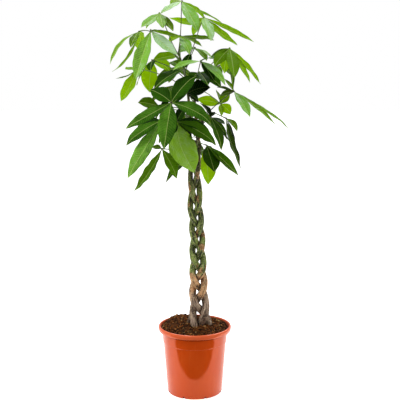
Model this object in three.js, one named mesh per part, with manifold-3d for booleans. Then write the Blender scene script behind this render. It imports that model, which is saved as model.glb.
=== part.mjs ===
// A potted money tree: three stems braided into one trunk in a plastic grower's pot, with a
// loose crown of palmate leaves. Millimetres, +Z up, origin at the middle of the pot's base.
// The front looks along +Y, with +X to the right.
import * as THREE from "three";
import { mergeVertices } from "three/addons/utils/BufferGeometryUtils.js";
import Module from "manifold-3d";

const wasm = await Module();
wasm.setup();

// Driving dimensions
const gap = 0.3;
const pot = {
  height: 229, rimRadius: 123, lipHeight: 16, neckRadius: 111, baseRadius: 93,
  wall: 3, floor: 4, ringHeight: 176, ringRadius: 108, ringStep: 1.8, sides: 32, mouthInset: 8,
};
// The lip and the moulded step, out from the neck: [past the named radius, above the named height]
const lipBead = [[-3, 0.2], [-1.1, 1.8], [0, 8]];
const lipTop = [[-0.7, -3.2], [-2.8, -0.4], [-5.5, 0]];
const stepBead = [[0, -0.6], [0.4, 2], [0.2, 4]];
const drain = {
  notches: 8, width: 9, height: 7, depth: 7, proud: 1.2, holes: 4, holeRadius: 6, holeCircle: 52,
};
const soil = {
  edgeHeight: 223, moundHeight: 235, bump: 1.75, rings: 6, spokes: 32, shoulder: 5, rimShare: 0.15,
};
const braid = {
  foot: 226, splay: 270, top: 812, rootDepth: 108, step: 18, sides: 8, segment: 24.4,
  gaps: [268, 309, 348, 381, 414, 448, 486, 525, 558, 595, 632, 683, 737, 790],
};
const stub = { radius: 5.5, taper: 0.35, steps: 5, points: [[-25, 9, 150], [-22, 6, 236], [-15, 2, 262]] };
const leafDepth = 1;
const fold = 0.2;
const upLean = 0.15;
const fanSpread = 240;
const stalk = {
  radius: 1.8, hubSwell: 2, rootSwell: 0.9, steps: 5, sides: 5, hubReach: 2.6,
  outward: 0.3, upward: 0.22, flat: 0.3, last: 0.35, arch: 0.06,
};

// Smooth values along the height of the trunk: [height, value]
const braidMiddle = [[226, 22], [313, 14], [447, 11], [556, 8], [600, 4], [690, 0], [812, 0]];
const braidSpread = [
  [226, 27], [313, 21.5], [367, 19.5], [447, 17.8], [556, 16.2], [600, 16.6], [650, 16.8], [720, 14.2],
  [812, 13],
];
const braidDepth = [
  [226, 23], [313, 25], [370, 23.8], [447, 21.8], [520, 20.2], [578, 20.6], [650, 18.8], [812, 15.5],
];
const braidLean = [[226, -18], [500, -6], [700, 0]];
const feet = [[21, -16], [46.5, -7], [-1.5, -31]];
const stemRadius = [
  [110, 13], [226, 12.8], [290, 12.3], [330, 11.8], [370, 10.9], [440, 10.1], [560, 9], [650, 8.8],
  [730, 7.8], [812, 6.8], [950, 4.6], [1140, 3.2],
];

// Above the braid each stem runs free to its own shoot tip
const shoots = [
  [[16, 9, 836], [9, 15, 862], [4, 14, 925], [0, 12, 990], [8, 6, 1052]],
  [[-13, -8, 836], [-15, 2, 865], [-16, 4, 925], [-20, 6, 990], [-31, 4, 1062], [-53, 0, 1138]],
  [[1, -1, 836], [14, -12, 862], [22, -8, 900], [28, -4, 940]],
];

function lookUp(table, at) {
  let k = 0;
  while (k < table.length - 2 && at > table[k + 1][0]) k += 1;
  const share = THREE.MathUtils.clamp((at - table[k][0]) / (table[k + 1][0] - table[k][0]), 0, 1);
  return table[k][1] + (table[k + 1][1] - table[k][1]) * share;
}

// A leaf: the stem it grows on, the height of its root there, its hub, the way its upper face
// looks, and its leaflets from the hub as [right, back, up, width, bow, roll]. The bow is a share
// of the length and the roll is in degrees. A stalk with a rise arches higher than the others.
const leaves = [
  { stem: 1, root: 1132, hub: [-40, 10, 1295], face: [0, 0, 1], blades: [
    [-63, -110, -46, 30, 0.02, -5], [-40, 90, -6, 36, 0.08, 8], [51, -95, -97, 48, 0.02, 5],
    [130, 40, -61, 20, -0.02, -5], [75, 85, -44, 26, 0.03, -8]] },
  { stem: 1, root: 1118, hub: [-110, -30, 1255], face: [0, -0.3, 1], blades: [
    [-54, -70, -46, 34, -0.02, -14], [15, -90, -49, 32, 0], [46, -75, -58, 32, 0], [-49, 90, -41, 26]] },
  { stem: 1, root: 1096, hub: [-135, -70, 1200], face: [-0.2, -0.6, 1], blades: [
    [-45, -60, -152, 54, 0], [82, -60, -76, 41, -0.03], [55, 110, -6, 34, 0.03], [110, 15, -25, 30, 0]] },
  { stem: 1, root: 1108, rise: 0.34, hub: [-178, 10, 1200], face: [-0.4, 0, 1], blades: [
    [-88, -60, -106, 35, 0.12, -8], [-91, 40, -128, 22, -0.11, 8], [-20, -90, -51, 31, 0.05, -8],
    [1, 100, -59, 44, 0.05, -25]] },
  { stem: 1, root: 1084, hub: [30, -20, 1243], face: [0.3, -0.3, 1], blades: [
    [21, -90, -78, 44, 0.04, -5], [109, 60, -84, 35, -0.03, -38], [160, 10, -75, 28, 0.01, -40],
    [-35, 110, -53, 36, 0.05, -28], [-112, 85, 7, 30, -0.09, 50]] },
  { stem: 1, root: 1117, hub: [-45, -20, 1185], face: [0, -0.3, 1], blades: [
    [31, -80, -56, 36, 0.05, -8], [108, 70, -5, 28, 0, -36], [70, 95, -31, 26, 0.05, -18],
    [-38, 50, -16, 26, 0.05, 24]] },
  { stem: 1, root: 1070, hub: [0, 50, 1150], face: [0.2, 0, 1], blades: [
    [60, -40, -36, 34], [40, 80, -40, 36], [-54, 60, -12, 36, 0.05, 25]] },
  { stem: 0, root: 1048, hub: [112, -10, 1147], face: [0.4, -0.3, 1], blades: [
    [-62, -30, -34, 24, 0.06], [-50, -80, -56, 42, 0], [-15, 100, -75, 50], [12, -95, -93, 46],
    [72, 60, -107, 34, 0, -22], [102, 20, -112, 32, 0.02, -36], [15, 90, -140, 26]] },
  { stem: 0, root: 1040, hub: [20, -90, 1105], face: [0, -0.5, 1], blades: [
    [-85, -70, -25, 33], [77, -50, -70, 32, 0.05, 5], [40, -70, 8, 28], [42, -35, -60, 32]] },
  { stem: 1, root: 1030, hub: [-34, -60, 1081], face: [-0.2, -0.7, 1], blades: [
    [-90, -60, -59, 50], [-45, 60, 25, 39], [21, 25, 49, 34]] },
  { stem: 0, root: 1022, hub: [15, -50, 1070], face: [0.2, -0.6, 1], blades: [
    [70, -40, -43, 47, 0.05, 12], [27, -85, -36, 44], [-28, -30, -22, 38], [62, 55, -22, 32]] },
  { stem: 1, root: 1046, hub: [-141, 100, 1111], face: [-0.3, 0.5, 1], blades: [
    [-12, 20, -106, 60], [56, 60, -34, 44], [86, -40, 16, 46, 0.02, -15], [-50, -60, -80, 36],
    [-3, -60, -36, 30]] },
  { stem: 1, root: 1012, hub: [-188, 50, 1085], face: [-0.5, 0.3, 1], blades: [
    [-61, 50, -109, 49, -0.04, 12], [-46, 80, -2, 30, -0.03, 34], [-67, -50, -30, 16, -0.13]] },
  { stem: 1, root: 940, hub: [-112, 0, 960], face: [-0.2, -0.8, 0.5], blades: [
    [-68, -40, 16, 48], [-55, 40, -20, 40], [36, 15, 4, 40]] },
  { stem: 1, root: 905, hub: [-70, -160, 981], face: [0, -0.8, 0.55], blades: [
    [-139, -20, -76, 42, -0.02], [-20, -60, -138, 57], [122, -20, -58, 50], [-64, 20, 38, 56],
    [74, 30, 82, 54]] },
  { stem: 2, root: 862, hub: [-55, -110, 920], face: [0.2, -0.8, 0.5], blades: [
    [60, -40, -154, 90, -0.11, 5], [125, 20, -73, 54], [-30, -20, -40, 43],
    [28, -20, 46, 32], [48, 40, -72, 40], [100, 45, -28, 40]] },
  { stem: 1, root: 872, hub: [-105, -60, 920], face: [-0.2, -0.8, 0.5], blades: [
    [-110, -30, -180, 55, -0.01], [-115, -10, -75, 42, 0.05], [-80, 60, -45, 46], [40, 70, -90, 44]] },
  { stem: 1, root: 800, hub: [-105, -40, 828], face: [-0.2, -0.5, 1], blades: [
    [-88, -20, -134, 47, -0.055], [49, -10, -95, 42, 0.03], [-32, 10, 5, 26]] },
  { stem: 2, root: 840, hub: [39, -16, 837], face: [0.3, -0.6, 0.8], blades: [
    [101, -40, -93, 43, 0.01], [25, -60, -79, 60, 0, -5], [12, 80, -18, 26]] },
  { stem: 0, root: 802, hub: [30, 60, 815], face: [0.2, 0.6, 0.8], blades: [
    [14, 10, -118, 60], [-133, 40, -110, 34], [15, 80, -50, 40]] },
  { stem: 2, root: 924, hub: [126, -20, 1011], face: [0.4, -0.3, 1], blades: [
    [48, -80, -79, 38, 0.06, 8], [133, -20, -103, 32, 0.03, 6], [190, 30, -117, 28, -0.01, 4],
    [-30, 30, 40, 22], [-54, 12, 14, 18, 0.05, 40], [-42, 20, -14, 24, 0.05, 42]] },
  { stem: 2, root: 938, hub: [103, 30, 922], face: [0.5, 0, 0.8], blades: [
    [36, -30, -40, 27, 0.1, 30], [56, 0, -163, 40, -0.05, -28], [30, 30, -94, 26]] },
  { stem: 2, root: 900, hub: [52, -15, 928], face: [0.3, -0.4, 0.9], blades: [
    [44, -55, -21, 30], [55, 25, -75, 24, 0.08, 27], [36, -60, -98, 38, 0.05, -5],
    [-35, -25, 45, 28, 0.14, 38], [73, 12, -92, 12, 0, 10], [12, -20, 18, 20]] },
  { stem: 0, root: 1000, hub: [88, 120, 966], face: [0.2, -0.6, 0.8], blades: [
    [-80, -15, 16, 34, 0.02, -50], [34, -10, -34, 34, 0.05, 35], [2, -30, -39, 20, 0.05, 0],
    [-15, 60, 47, 18, 0.05, 30], [30, 10, 38, 36, 0.03, 10]] },
  { stem: 0, root: 965, hub: [-62, 160, 1028], face: [0, 0.6, 1], blades: umbrella(100, 140, 30, 5) },
  { stem: 1, root: 920, hub: [-110, 140, 945], face: [-0.4, 0.6, 1], blades: umbrella(125, 130, 35, 4) },
  { stem: 0, root: 905, hub: [30, 170, 915], face: [0.2, 0.7, 1], blades: umbrella(74, 125, 40, 4) },
  { stem: 1, root: 1064, hub: [-60, 165, 1090], face: [-0.2, 0.6, 1], blades: umbrella(110, 110, 30, 5) },
  { stem: 0, root: 1035, hub: [85, 160, 1095], face: [0.4, 0.6, 1], blades: umbrella(95, 100, 35, 5) },
  { stem: 1, root: 850, hub: [-100, 95, 880], face: [-0.5, 0.4, 1], blades: umbrella(130, 110, 40, 4) },
  { stem: 0, root: 845, hub: [-20, 112, 850], face: [0, 0.7, 1], blades: umbrella(112, 115, 40, 5) },
  { stem: 0, root: 935, hub: [5, 222, 940], face: [0, 0.8, 1], blades: umbrella(90, 130, 35, 4) },
  { stem: 0, root: 985, hub: [-23, -60, 1005], face: [0.1, -0.8, 0.5], blades: [
    [73, -15, 19, 58, 0.08], [-44, 20, -29, 28], [37, 30, -25, 30]] },
];

// A regular leaf: leaflets fanned round the hub, the middle one longest, all drooping
function umbrella(heading, size, droop, count) {
  const blades = [];
  for (let k = 0; k < count; k += 1) {
    const away = (k / (count - 1) - 0.5) * fanSpread;
    const length = size * (1 - 0.76 * Math.abs(away) / fanSpread);
    const turn = THREE.MathUtils.degToRad(heading + away);
    const down = THREE.MathUtils.degToRad(droop);
    blades.push([
      length * Math.cos(down) * Math.cos(turn), length * Math.cos(down) * Math.sin(turn),
      -length * Math.sin(down), 0.33 * length,
    ]);
  }
  return blades;
}

// A closed mesh as a solid, and a solid as a mesh's geometry
function solidOf(geometry) {
  geometry.deleteAttribute("normal");
  geometry.deleteAttribute("uv");
  const merged = mergeVertices(geometry, 1e-4);
  return new wasm.Manifold(new wasm.Mesh({
    numProp: 3,
    vertProperties: new Float32Array(merged.attributes.position.array),
    triVerts: new Uint32Array(merged.index.array),
  }));
}

function geometryOf(solid) {
  const mesh = solid.getMesh();
  const geometry = new THREE.BufferGeometry();
  geometry.setAttribute("position", new THREE.BufferAttribute(mesh.vertProperties, 3));
  geometry.setIndex(new THREE.BufferAttribute(mesh.triVerts, 1));
  geometry.computeVertexNormals();
  return geometry;
}

// A round bar along a curve, its radius given for each share of the way
function taperedBar(curve, steps, sides, radiusAt) {
  const frames = curve.computeFrenetFrames(steps, false);
  const points = [];
  const faces = [];
  for (let i = 0; i <= steps; i += 1) {
    const middle = curve.getPointAt(i / steps);
    const radius = radiusAt(i / steps, middle);
    for (let j = 0; j < sides; j += 1) {
      const angle = (2 * Math.PI * j) / sides;
      const point = middle.clone()
        .addScaledVector(frames.normals[i], radius * Math.cos(angle))
        .addScaledVector(frames.binormals[i], radius * Math.sin(angle));
      points.push(point.x, point.y, point.z);
    }
  }
  for (let i = 0; i < steps; i += 1) {
    for (let j = 0; j < sides; j += 1) {
      const a = i * sides + j;
      const b = i * sides + (j + 1) % sides;
      faces.push(a, b, b + sides, a, b + sides, a + sides);
    }
  }
  for (let j = 1; j < sides - 1; j += 1) {
    const top = steps * sides;
    faces.push(0, j + 1, j, top, top + j, top + j + 1);
  }
  const geometry = new THREE.BufferGeometry();
  geometry.setAttribute("position", new THREE.Float32BufferAttribute(points, 3));
  geometry.setIndex(faces);
  return geometry;
}

// The braid: each stem swings from side to side and passes in front as it swings outward. The
// light shows through between the stems at each of the gaps, a sixth of a swing apart.
const braidTurns = [[braid.foot, 0], ...braid.gaps.map((height, k) => [height, 30 + 60 * k])];

function stemCurve(index) {
  const points = [];
  for (let z = braid.foot - braid.rootDepth; z <= braid.top; z += braid.step) {
    const turn = THREE.MathUtils.degToRad(lookUp(braidTurns, z) + 120 * index);
    const x = lookUp(braidMiddle, z) + lookUp(braidSpread, z) * Math.sin(turn);
    const y = lookUp(braidLean, z) - lookUp(braidDepth, z) * Math.sin(2 * turn);
    const splay = 1 - THREE.MathUtils.smoothstep(z, braid.foot, braid.splay);
    const [footX, footY] = feet[index];
    points.push(new THREE.Vector3(x + (footX - x) * splay, y + (footY - y) * splay, z));
  }
  for (const [x, y, z] of shoots[index]) points.push(new THREE.Vector3(x, y, z));
  return new THREE.CatmullRomCurve3(points, false, "centripetal");
}

const stemCurves = [0, 1, 2].map(stemCurve);

function stemSolid(index, extra) {
  const curve = stemCurves[index];
  const steps = Math.round(curve.getLength() / braid.segment);
  return solidOf(taperedBar(curve, steps, braid.sides, (share, at) => lookUp(stemRadius, at.z) + extra));
}

// The stub of a fourth shoot, cut short close behind the left-hand stem
function stubSolid(extra) {
  const curve = new THREE.CatmullRomCurve3(stub.points.map((point) => new THREE.Vector3(...point)));
  const radiusAt = (share) => stub.radius * (1 - stub.taper * share) + extra;
  return solidOf(taperedBar(curve, stub.steps, braid.sides, radiusAt));
}

function stemPoint(index, height) {
  const curve = stemCurves[index];
  let low = 0;
  let high = 1;
  for (let k = 0; k < 24; k += 1) {
    const half = (low + high) / 2;
    if (curve.getPointAt(half).z < height) low = half;
    else high = half;
  }
  return curve.getPointAt(low);
}

// A leaflet's width at three shares of its length, and where it starts at the hub
const bladeStations = [[0.27, 0.72], [0.53, 1], [0.81, 0.66]];
const bladeRoot = { from: 1.5, width: 2 };

function bladeForm(hub, blade, face) {
  const chord = new THREE.Vector3(blade[0], blade[1], blade[2]);
  const length = chord.length();
  const along = chord.clone().normalize();
  const up = new THREE.Vector3(0, 0, 1);
  up.addScaledVector(along, -up.dot(along)).normalize();
  const normal = new THREE.Vector3(...face).normalize();
  normal.addScaledVector(along, -normal.dot(along));
  normal.addScaledVector(up, upLean).normalize();
  const [, , , width, bow = 0.05, roll = 0] = blade;
  normal.applyAxisAngle(along, THREE.MathUtils.degToRad(roll));
  const side = new THREE.Vector3().crossVectors(along, normal);
  return { hub: new THREE.Vector3(...hub), chord, length, up, normal, side, width, bow };
}

function bladePoint(form, share, across, lift) {
  const bow = 4 * form.bow * form.length * share * (1 - share);
  return form.hub.clone()
    .addScaledVector(form.chord, share)
    .addScaledVector(form.up, bow)
    .addScaledVector(form.side, across)
    .addScaledVector(form.normal, fold * Math.abs(across) + lift);
}

function bladeGeometry(form) {
  const points = [];
  const faces = [];
  const stations = [[bladeRoot.from / form.length, bladeRoot.width]];
  for (const [share, wide] of bladeStations) stations.push([share, wide * form.width]);
  const rows = stations.length;
  const put = (point) => points.push(point.x, point.y, point.z);
  for (const lift of [leafDepth / 2, -leafDepth / 2]) {
    for (const [share, wide] of stations) {
      for (const across of [-0.5, 0, 0.5]) put(bladePoint(form, share, across * wide, lift));
    }
    put(bladePoint(form, 1, 0, lift));
  }
  const under = 3 * rows + 1;
  const tip = 3 * rows;
  const both = (a, b, c) => faces.push(a, b, c, a + under, c + under, b + under);
  const wall = (a, b) => faces.push(b, a, a + under, b, a + under, b + under);
  for (let i = 0; i < rows - 1; i += 1) {
    for (let j = 0; j < 2; j += 1) {
      const a = 3 * i + j;
      both(a, a + 1, a + 4);
      both(a, a + 4, a + 3);
    }
    wall(3 * i + 3, 3 * i);
    wall(3 * i + 2, 3 * i + 5);
  }
  both(tip - 3, tip - 2, tip);
  both(tip - 2, tip - 1, tip);
  wall(tip, tip - 3);
  wall(tip - 1, tip);
  wall(0, 1);
  wall(1, 2);
  const geometry = new THREE.BufferGeometry();
  geometry.setAttribute("position", new THREE.Float32BufferAttribute(points, 3));
  geometry.setIndex(faces);
  return geometry;
}

// Leaf stalks leave the stem upward and outward and swell a little at the hub
function stalkCurve(leaf) {
  const root = stemPoint(leaf.stem, leaf.root);
  const hub = new THREE.Vector3(...leaf.hub);
  const reach = root.distanceTo(hub);
  const out = hub.clone().sub(root);
  out.z *= stalk.flat;
  out.normalize();
  const start = root.clone().addScaledVector(out, stalk.outward * reach);
  start.z += stalk.upward * reach;
  const end = hub.clone().lerp(root, stalk.last);
  end.z += (leaf.rise ?? stalk.arch) * reach;
  const crown = hub.clone().sub(end).setLength(stalk.hubReach).add(hub);
  return new THREE.CubicBezierCurve3(root, start, end, crown);
}

function stalkRadius(share) {
  return stalk.radius + stalk.hubSwell * share ** 8 + stalk.rootSwell * (1 - share) ** 6;
}

function leafSolid(leaf) {
  let solid = solidOf(taperedBar(stalkCurve(leaf), stalk.steps, stalk.sides, stalkRadius));
  for (const blade of leaf.blades) {
    solid = solid.add(solidOf(bladeGeometry(bladeForm(leaf.hub, blade, leaf.face))));
  }
  return solid.subtract(stemSolid(leaf.stem, gap));
}

// Pot: the potting mix inside it reaches out to this radius at each height
function soilWall(height) {
  const under = pot.height - pot.lipHeight;
  const table = [
    [pot.floor, pot.baseRadius - pot.wall], [pot.ringHeight, pot.ringRadius - pot.ringStep - pot.wall],
    [under, pot.neckRadius - pot.wall], [pot.height, pot.rimRadius - pot.mouthInset],
  ];
  return lookUp(table, height) - 2 * gap;
}

function potSolid() {
  const { height, rimRadius, lipHeight, neckRadius, baseRadius, wall, floor, ringHeight } = pot;
  const { ringRadius, ringStep } = pot;
  const under = height - lipHeight;
  const outer = [
    [0, 0], [baseRadius - 2, 0], [baseRadius, 2.5], [ringRadius - ringStep, ringHeight - 3],
    ...stepBead.map(([out, up]) => [ringRadius + out, ringHeight + up]),
    [neckRadius, under],
    ...lipBead.map(([out, up]) => [rimRadius + out, under + up]),
    ...lipTop.map(([out, up]) => [rimRadius + out, height + up]),
  ];
  const inner = [
    [soilWall(height - 3) + 2 * gap, height - 3], [soilWall(under) + 2 * gap, under],
    [soilWall(ringHeight) + 2 * gap, ringHeight], [baseRadius - wall, floor], [0, floor],
  ];
  const outline = [...outer, ...inner].map(([radius, z]) => new THREE.Vector2(radius, z));
  const turned = new THREE.LatheGeometry(outline, pot.sides);
  turned.rotateX(Math.PI / 2);
  let solid = solidOf(turned);
  for (let k = 0; k < drain.notches; k += 1) {
    const angle = (2 * Math.PI * (k + 0.5)) / drain.notches;
    const notch = new THREE.BoxGeometry(drain.depth * 2, drain.width, drain.height * 2);
    notch.translate(baseRadius + drain.proud, 0, 0);
    notch.rotateZ(angle);
    solid = solid.subtract(solidOf(notch));
  }
  for (let k = 0; k < drain.holes; k += 1) {
    const angle = (2 * Math.PI * k) / drain.holes;
    const hole = new THREE.CylinderGeometry(drain.holeRadius, drain.holeRadius, 4 * floor, 8);
    hole.rotateX(Math.PI / 2);
    hole.translate(drain.holeCircle * Math.cos(angle), drain.holeCircle * Math.sin(angle), 0);
    solid = solid.subtract(solidOf(hole));
  }
  return solid;
}

// Potting mix: it fills the pot, mounds a little round the stems and has a lumpy top
function soilTop(radius, angle, wallRadius) {
  const x = radius * Math.cos(angle);
  const y = radius * Math.sin(angle);
  const mound = (soil.moundHeight - soil.edgeHeight) * (1 - (radius / wallRadius) ** 2);
  const lumps = Math.sin(0.19 * x + 1.3) * Math.cos(0.23 * y) + 0.7 * Math.sin(0.41 * x - 0.37 * y);
  return soil.edgeHeight + mound + soil.bump * lumps;
}

function soilSolid() {
  const bottom = pot.floor + gap;
  const bend = pot.height - pot.lipHeight;
  const shoulder = soil.edgeHeight - soil.shoulder;
  const topRadius = soilWall(shoulder);
  const rows = [
    [soilWall(bottom) * 0.5, bottom], [soilWall(bottom), bottom],
    [soilWall(pot.ringHeight), pot.ringHeight], [soilWall(bend), bend], [topRadius, shoulder],
  ];
  const points = [];
  const faces = [];
  points.push(0, 0, bottom);
  const count = soil.spokes;
  for (const [radius, z] of rows) {
    for (let j = 0; j < count; j += 1) {
      const angle = (2 * Math.PI * j) / count;
      points.push(radius * Math.cos(angle), radius * Math.sin(angle), z);
    }
  }
  for (let i = 0; i < soil.rings; i += 1) {
    const radius = topRadius * (1 - (i + soil.rimShare) / (soil.rings + soil.rimShare));
    for (let j = 0; j < count; j += 1) {
      const angle = (2 * Math.PI * j) / count;
      points.push(radius * Math.cos(angle), radius * Math.sin(angle), soilTop(radius, angle, topRadius));
    }
  }
  const levels = rows.length + soil.rings;
  points.push(0, 0, soilTop(0, 0, topRadius));
  const crest = 1 + levels * count;
  for (let j = 0; j < count; j += 1) {
    const next = (j + 1) % count;
    faces.push(0, 1 + next, 1 + j);
    for (let i = 0; i < levels - 1; i += 1) {
      const a = 1 + i * count + j;
      const b = 1 + i * count + next;
      faces.push(a, b, b + count, a, b + count, a + count);
    }
    const edge = 1 + (levels - 1) * count;
    faces.push(edge + j, edge + next, crest);
  }
  const geometry = new THREE.BufferGeometry();
  geometry.setAttribute("position", new THREE.Float32BufferAttribute(points, 3));
  geometry.setIndex(faces);
  let solid = solidOf(geometry);
  for (let k = 0; k < stemCurves.length; k += 1) solid = solid.subtract(stemSolid(k, gap));
  return solid.subtract(stubSolid(gap));
}

function piece(name, solid, color, roughness) {
  const material = new THREE.MeshStandardMaterial({ color, roughness, metalness: 0 });
  const mesh = new THREE.Mesh(geometryOf(solid), material);
  mesh.name = name;
  return mesh;
}

const leafGreens = [0x6f9f4a, 0x4f8a2e, 0x2f6b1c, 0x86ad2a];
const group = new THREE.Group();
group.add(piece("pot", potSolid(), 0xcf4f26, 0.35));
group.add(piece("soil", soilSolid(), 0x4a2b1c, 0.95));
stemCurves.forEach((curve, k) => group.add(piece(`stem_${k + 1}`, stemSolid(k, 0), 0x6d6a45, 0.8)));
group.add(piece("stub", stubSolid(0), 0x8f7560, 0.85));
leaves.forEach((leaf, k) => {
  const name = `leaf_${String(k + 1).padStart(2, "0")}`;
  group.add(piece(name, leafSolid(leaf), leafGreens[k % leafGreens.length], 0.5));
});

export default group;
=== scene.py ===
import math
import random

import bmesh
import bpy
from mathutils import Matrix, Quaternion, Vector, noise


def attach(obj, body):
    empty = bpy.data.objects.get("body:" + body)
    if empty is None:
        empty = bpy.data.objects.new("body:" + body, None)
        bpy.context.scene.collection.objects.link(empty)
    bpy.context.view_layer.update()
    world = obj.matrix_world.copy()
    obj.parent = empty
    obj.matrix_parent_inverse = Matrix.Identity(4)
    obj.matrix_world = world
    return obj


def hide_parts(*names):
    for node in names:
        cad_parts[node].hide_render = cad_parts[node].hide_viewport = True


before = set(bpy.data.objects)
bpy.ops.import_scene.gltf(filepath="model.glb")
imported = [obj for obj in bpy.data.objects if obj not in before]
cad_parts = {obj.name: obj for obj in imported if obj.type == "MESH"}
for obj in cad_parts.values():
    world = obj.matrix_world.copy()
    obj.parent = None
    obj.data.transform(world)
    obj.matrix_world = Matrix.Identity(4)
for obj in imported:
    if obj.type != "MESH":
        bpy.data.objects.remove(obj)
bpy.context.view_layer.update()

mm = 0.001
fullTurn = 2 * math.pi
chance = random.Random(41)
print("money tree: model loaded with", len(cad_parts), "nodes")


# Camera, floor and light. Four numbers for a spread are its low and high input and what they become.
studio = {
    "eye": (0.0176, -2.65, 1.07), "pitch": 81.1, "lens": 73.2, "film": 36.0,
    "floorSize": 40.0, "floorColor": "#f0f0ee", "floorRoughness": 0.3, "floorGlow": 0.75,
    "floorGleam": (-0.25, 0.08, 1.25, 0.62),
    "skySeen": 1.0, "skyDepth": (-0.75, 0.25, 0.16, 0.62), "skyHeight": (0.3, 0.9, 0.0, 0.9),
    "cardEdge": [(0.13, -0.219), (0.174, -0.216), (0.2365, -0.204), (0.3, -0.194), (0.345, -0.194),
                 (0.394, -0.192), (2.5, -0.192)],
    "cardBack": -4.0, "cardHeight": 0.001, "cardColor": "#0a0a0a", "cardRoughness": 0.9,
}


def linear(code):
    parts = [int(code[k:k + 2], 16) / 255 for k in (1, 3, 5)]
    return [part / 12.92 if part <= 0.04045 else ((part + 0.055) / 1.055) ** 2.4 for part in parts] + [1.0]


def newMaterial(name):
    material = bpy.data.materials.new(name)
    material.use_nodes = True
    tree = material.node_tree
    tree.nodes.clear()
    shader = tree.nodes.new("ShaderNodeBsdfPrincipled")
    surface = tree.nodes.new("ShaderNodeOutputMaterial").inputs["Surface"]
    tree.links.new(shader.outputs["BSDF"], surface)
    return material, tree, shader


def put(tree, value, socket):
    if isinstance(value, bpy.types.NodeSocket):
        tree.links.new(value, socket)
    else:
        socket.default_value = linear(value) if isinstance(value, str) else value


def add(tree, kind, settings=None, inputs=None):
    node = tree.nodes.new(kind)
    for name, value in (settings or {}).items():
        setattr(node, name, value)
    for name, value in (inputs or {}).items():
        put(tree, value, node.inputs[name])
    return node


def maths(tree, kind, a, b=0.0, c=0.0):
    node = add(tree, "ShaderNodeMath", {"operation": kind})
    for value, socket in zip((a, b, c), node.inputs):
        put(tree, value, socket)
    return node.outputs[0]


def spread(tree, value, low, high, toLow=0.0, toHigh=1.0):
    node = add(tree, "ShaderNodeMapRange", {"interpolation_type": "SMOOTHSTEP"}, {
        "Value": value, "From Min": low, "From Max": high, "To Min": toLow, "To Max": toHigh})
    return node.outputs["Result"]


def blend(tree, share, first, second):
    node = add(tree, "ShaderNodeMix", {"data_type": "RGBA"})
    sockets = [node.inputs[0]] + [socket for socket in node.inputs if socket.type == "RGBA"]
    for value, socket in zip((share, first, second), sockets):
        put(tree, value, socket)
    return [socket for socket in node.outputs if socket.type == "RGBA"][0]


def speckle(tree, place, scale, detail, roughness=0.55, stretch=None):
    if stretch:
        place = add(tree, "ShaderNodeMapping", inputs={"Vector": place, "Scale": stretch}).outputs["Vector"]
    node = add(tree, "ShaderNodeTexNoise", inputs={
        "Vector": place, "Scale": scale, "Detail": detail, "Roughness": roughness})
    return node.outputs["Fac"]


def whereOn(tree):
    return add(tree, "ShaderNodeTexCoord").outputs["Object"]


def painted(tree, name):
    return add(tree, "ShaderNodeAttribute", {"attribute_name": name}).outputs


def split(tree, vector):
    return add(tree, "ShaderNodeSeparateXYZ", inputs={"Vector": vector}).outputs


def dress(tree, shader, color, roughness, relief, height):
    strength, distance = relief
    bump = add(tree, "ShaderNodeBump", inputs={"Strength": strength, "Distance": distance, "Height": height})
    put(tree, color, shader.inputs["Base Color"])
    put(tree, roughness, shader.inputs["Roughness"])
    put(tree, bump.outputs["Normal"], shader.inputs["Normal"])


def meshOf(name, bm):
    mesh = bpy.data.meshes.new(name)
    bm.to_mesh(mesh)
    bm.free()
    return mesh


def addObject(name, data):
    item = bpy.data.objects.new(name, data)
    bpy.context.collection.objects.link(item)
    return item


def makeCamera():
    data = bpy.data.cameras.new("camera")
    data.lens = studio["lens"]
    data.sensor_width = studio["film"]
    camera = addObject("camera", data)
    camera.location = studio["eye"]
    camera.rotation_euler = (math.radians(studio["pitch"]), 0.0, 0.0)
    bpy.context.scene.camera = camera


def makeSky():
    world = bpy.data.worlds.new("studioSky")
    bpy.context.scene.world = world
    world.use_nodes = True
    tree = world.node_tree
    tree.nodes.clear()
    direction = split(tree, add(tree, "ShaderNodeTexCoord").outputs["Generated"])
    seen = add(tree, "ShaderNodeLightPath").outputs["Is Camera Ray"]
    behind = spread(tree, direction["Y"], *studio["skyDepth"])
    above = spread(tree, direction["Z"], *studio["skyHeight"])
    soft = maths(tree, "MAXIMUM", behind, above)
    strength = maths(tree, "MULTIPLY_ADD", seen, maths(tree, "SUBTRACT", studio["skySeen"], soft), soft)
    back = add(tree, "ShaderNodeBackground", inputs={"Color": (1, 1, 1, 1), "Strength": strength})
    add(tree, "ShaderNodeOutputWorld", inputs={"Surface": back.outputs["Background"]})


def makeSheet(name, bm, materialName, color, roughness):
    sheet = addObject(name, meshOf(name, bm))
    material, tree, shader = newMaterial(materialName)
    put(tree, color, shader.inputs["Base Color"])
    put(tree, roughness, shader.inputs["Roughness"])
    sheet.data.materials.append(material)
    return sheet, tree, shader


def makeFloor():
    bm = bmesh.new()
    bmesh.ops.create_grid(bm, x_segments=1, y_segments=1, size=studio["floorSize"] / 2)
    floor, tree, shader = makeSheet("floor", bm, "palePaper", studio["floorColor"], studio["floorRoughness"])
    path = add(tree, "ShaderNodeLightPath").outputs
    glow = maths(tree, "MULTIPLY", path["Is Camera Ray"], studio["floorGlow"])
    gleam = spread(tree, split(tree, whereOn(tree))["Y"], *studio["floorGleam"])
    glow = maths(tree, "MULTIPLY_ADD", path["Is Glossy Ray"], gleam, glow)
    put(tree, (1, 1, 1, 1), shader.inputs["Emission Color"])
    put(tree, glow, shader.inputs["Emission Strength"])


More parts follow.
